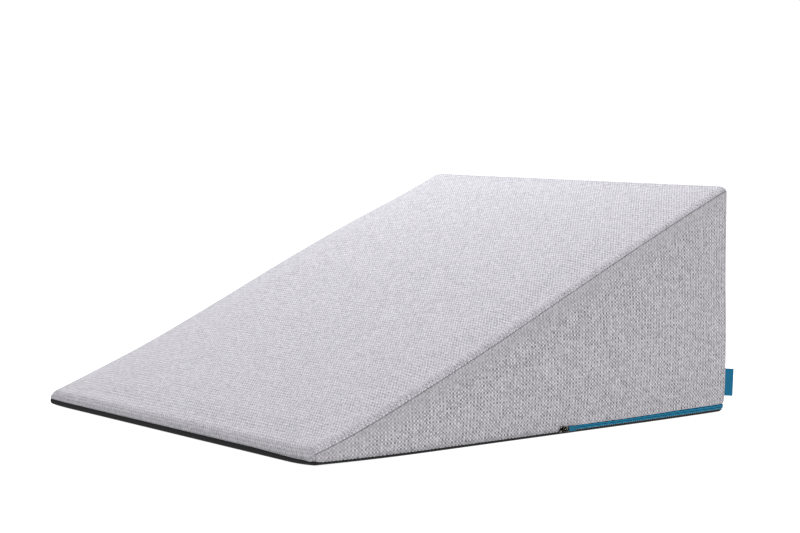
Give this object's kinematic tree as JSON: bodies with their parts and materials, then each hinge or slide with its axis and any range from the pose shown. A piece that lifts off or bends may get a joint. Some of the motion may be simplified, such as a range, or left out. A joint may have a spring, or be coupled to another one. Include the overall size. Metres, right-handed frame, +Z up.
{
  "type": "wedge pillow",
  "caption": "Wedge-shaped foam cushion in a taut grey woven cover with a black non-slip base and a zip round its foot, for raising the legs or back.",
  "frame": {"origin": "on the floor under the middle of the base", "axes": "+Z up, +Y from the thin edge towards the tall back, +X towards the side with the zip slider"},
  "size_m": [0.6214, 0.6873, 0.3011],
  "materials": {
    "top_cloth": "light grey melange weave, matt",
    "side_cloth": "light grey melange weave, matt",
    "base_cloth": "black non-slip cloth, matt",
    "zip": "teal woven tape and coil",
    "slider_metal": "gunmetal, satin",
    "grip": "teal lacquer, satin",
    "ribbon": "teal woven ribbon, satin"
  },
  "bodies": {
    "root": {"cushion_body": "top_cloth", "side_panel_right": "side_cloth", "side_panel_left": "side_cloth", "base_panel": "base_cloth", "zip_tape": "zip", "zip_slider": "slider_metal", "zip_link": "slider_metal", "zip_grip": "grip", "side_label": "ribbon"}
  },
  "joints": []
}
